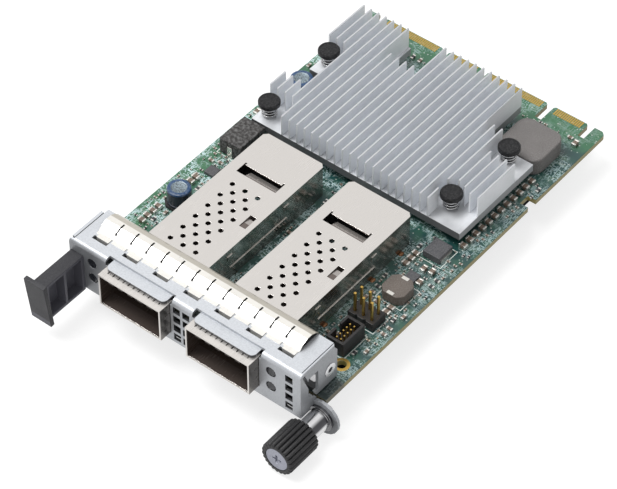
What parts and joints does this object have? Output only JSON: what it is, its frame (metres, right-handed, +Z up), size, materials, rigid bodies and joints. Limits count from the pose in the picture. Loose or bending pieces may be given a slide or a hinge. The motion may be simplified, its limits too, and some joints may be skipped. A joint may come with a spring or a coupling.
{
  "type": "network adapter card",
  "caption": "Server network adapter card with module cages in a sprung-finger faceplate, a finned heat sink with cut-outs, a pull tab and a captive thumbscrew.",
  "frame": {"origin": "middle of the board's front edge, on the board's top face", "axes": "+X to the thumbscrew side, +Y from the faceplate to the contact edge, +Z up out of the component side"},
  "size_m": [0.0805, 0.1357, 0.0239],
  "materials": {
    "board": "green solder mask with pale marks and a bare laminate edge",
    "contact_gold": "gold plating",
    "faceplate_steel": "pale tinned steel sheet",
    "finger_strip": "bright tinned spring metal",
    "cage_metal": "satin tinned sheet, slightly warm",
    "gasket_metal": "satin spring metal",
    "receptacle_plastic": "black moulded plastic",
    "sink_aluminium": "satin extruded aluminium",
    "chip_package": "moulded package",
    "thermal_compound": "soft grey pad",
    "pin_plastic": "dark nylon",
    "spring_steel": "spring wire",
    "ferrite_grey": "pressed powder, brown grey",
    "ferrite_black": "pressed powder, near black",
    "tinned_lead": "tinned metal",
    "can_aluminium": "can with a blue marked top",
    "ceramic_chip": "brown ceramic with tinned ends",
    "header_plastic": "black moulded plastic",
    "header_gold": "gold plated posts",
    "light_pipe": "clear moulded plastic",
    "lamp": "pale lamp package",
    "tab_plastic": "dark grey moulded plastic",
    "insulator_film": "black film",
    "adhesive": "foam strip",
    "screw_steel": "plated steel",
    "barrel_metal": "plated steel, turned",
    "knob_plastic": "black moulded plastic"
  },
  "bodies": {
    "card": {"circuit_board": "board", "edge_contacts": "contact_gold", "faceplate": "faceplate_steel", "emi_finger_strip": "finger_strip", "pull_tab": "tab_plastic", "side_nut": "screw_steel", "light_pipes": "light_pipe", "status_lamps": "lamp", "heat_sink": "sink_aluminium", "processor": "chip_package", "thermal_pad": "thermal_compound", "push_pins": "pin_plastic", "push_pin_springs": "spring_steel", "large_inductor": "ferrite_grey", "rear_inductor": "ferrite_black", "small_inductor": "ferrite_grey", "inductor_tabs": "tinned_lead", "power_diode": "chip_package", "can_capacitors": "can_aluminium", "chip_capacitors": "ceramic_chip", "regulator_chips": "chip_package", "post_header": "header_plastic", "header_posts": "header_gold", "box_header": "header_plastic", "box_header_pins": "header_gold", "insulator_sheet": "insulator_film", "insulator_strips": "adhesive", "faceplate_screws": "screw_steel", "cage_left": "cage_metal", "cage_right": "cage_metal", "cage_gasket_left": "gasket_metal", "cage_gasket_right": "gasket_metal", "receptacle_left": "receptacle_plastic", "receptacle_right": "receptacle_plastic", "thumbscrew_barrel": "barrel_metal"},
    "spring": {"thumbscrew_spring": "spring_steel"},
    "thumbscrew": {"thumbscrew_knob": "knob_plastic", "thumbscrew_screw": "screw_steel"}
  },
  "joints": [
    {"name": "thumbscrew_press", "type": "slide", "parent": "card", "child": "spring", "axis": [0, 1, 0], "range_m": [0, 0.0011], "stiffness_N_per_m": 200, "springref_m": -0.006, "deforming": ["thumbscrew_spring"]},
    {"name": "thumbscrew_turn", "type": "hinge", "parent": "spring", "child": "thumbscrew", "pos_m": [0.0374, -0.0125, -0.0053], "axis": [0, 1, 0], "continuous": true}
  ]
}
